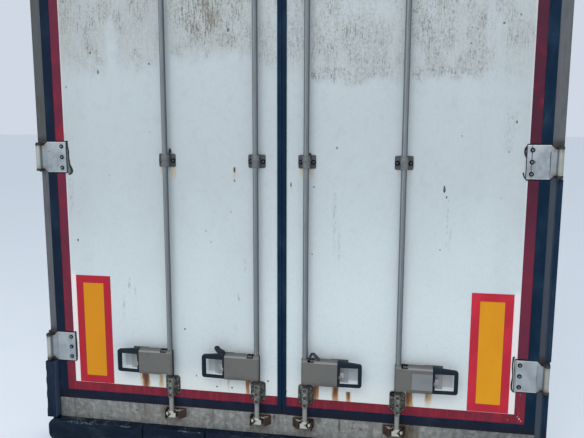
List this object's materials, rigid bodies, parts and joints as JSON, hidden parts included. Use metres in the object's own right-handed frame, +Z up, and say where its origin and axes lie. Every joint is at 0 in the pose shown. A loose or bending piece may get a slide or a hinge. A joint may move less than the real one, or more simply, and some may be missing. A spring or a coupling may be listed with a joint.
{
  "type": "refrigerated trailer rear door end",
  "caption": "Portal frame of an insulated trailer body with two hinged doors, locking rods with swing handles, rubber seals, reflective tape and marker plates.",
  "frame": {"origin": "middle of the sill's underside, where the frame stands on the chassis", "axes": "+X to the right seen from behind, +Y towards the front of the vehicle, +Z up"},
  "size_m": [2.608, 0.171, 3.01],
  "materials": {
    "door_skin": "white glass-fibre skin, weathered satin",
    "galvanised": "galvanised, stained",
    "post_steel": "galvanised, weathered",
    "bracket_steel": "dark, grimy",
    "stainless": "brushed",
    "cast_lock": "worn bright on the faces that rub, rusty elsewhere",
    "zinc_steel": "zinc plated, weathered",
    "rod_steel": "galvanised",
    "cast_handle": "cast, dull",
    "black_plastic": "moulded",
    "rubber": "weathered",
    "reflective_red": "retroreflective sheeting, dirty",
    "marker_red": "red fluorescent border with a yellow field"
  },
  "bodies": {
    "frame": {"sill": "galvanised", "header": "galvanised", "post_left": "post_steel", "post_right": "post_steel", "hinge_brackets_left": "bracket_steel", "hinge_brackets_right": "bracket_steel", "corner_strips_left": "rubber", "corner_strips_right": "rubber", "buffer_blocks": "rubber", "keepers_low": "cast_lock", "keepers_top": "cast_lock"},
    "door_left": {"door_leaf_left": "door_skin", "edge_seal_left": "rubber", "centre_seal_left": "rubber", "hinge_straps_left": "stainless", "rod_guides_left": "zinc_steel", "low_bearings_left": "zinc_steel", "top_bearings_left": "zinc_steel", "handle_retainers_left": "zinc_steel", "tape_left": "reflective_red", "marker_plate_left": "marker_red"},
    "door_right": {"door_leaf_right": "door_skin", "edge_seal_right": "rubber", "centre_seal_right": "rubber", "hinge_straps_right": "stainless", "rod_guides_right": "zinc_steel", "low_bearings_right": "zinc_steel", "top_bearings_right": "zinc_steel", "handle_retainers_right": "zinc_steel", "tape_right": "reflective_red", "marker_plate_right": "marker_red"},
    "rod_inner_left": {"lock_rod_inner_left": "rod_steel", "handle_inner_left": "cast_handle", "grip_inner_left": "black_plastic"},
    "rod_outer_left": {"lock_rod_outer_left": "rod_steel", "handle_outer_left": "cast_handle", "grip_outer_left": "black_plastic"},
    "rod_inner_right": {"lock_rod_inner_right": "rod_steel", "handle_inner_right": "cast_handle", "grip_inner_right": "black_plastic"},
    "rod_outer_right": {"lock_rod_outer_right": "rod_steel", "handle_outer_right": "cast_handle", "grip_outer_right": "black_plastic"}
  },
  "joints": [
    {"name": "door_left_swing", "type": "hinge", "parent": "frame", "child": "door_left", "pos_m": [-1.28, -0.083, 1.572], "axis": [0, 0, -1], "range_deg": [0, 250]},
    {"name": "door_right_swing", "type": "hinge", "parent": "frame", "child": "door_right", "pos_m": [1.28, -0.083, 1.572], "axis": [0, 0, 1], "range_deg": [0, 250]},
    {"name": "rod_inner_left_turn", "type": "hinge", "parent": "door_left", "child": "rod_inner_left", "pos_m": [-0.125, -0.09, 1.572], "axis": [0, 0, 1], "range_deg": [0, 100]},
    {"name": "rod_outer_left_turn", "type": "hinge", "parent": "door_left", "child": "rod_outer_left", "pos_m": [-0.588, -0.09, 1.572], "axis": [0, 0, 1], "range_deg": [0, 100]},
    {"name": "rod_inner_right_turn", "type": "hinge", "parent": "door_right", "child": "rod_inner_right", "pos_m": [0.125, -0.09, 1.572], "axis": [0, 0, -1], "range_deg": [0, 100]},
    {"name": "rod_outer_right_turn", "type": "hinge", "parent": "door_right", "child": "rod_outer_right", "pos_m": [0.588, -0.09, 1.572], "axis": [0, 0, -1], "range_deg": [0, 100]}
  ]
}
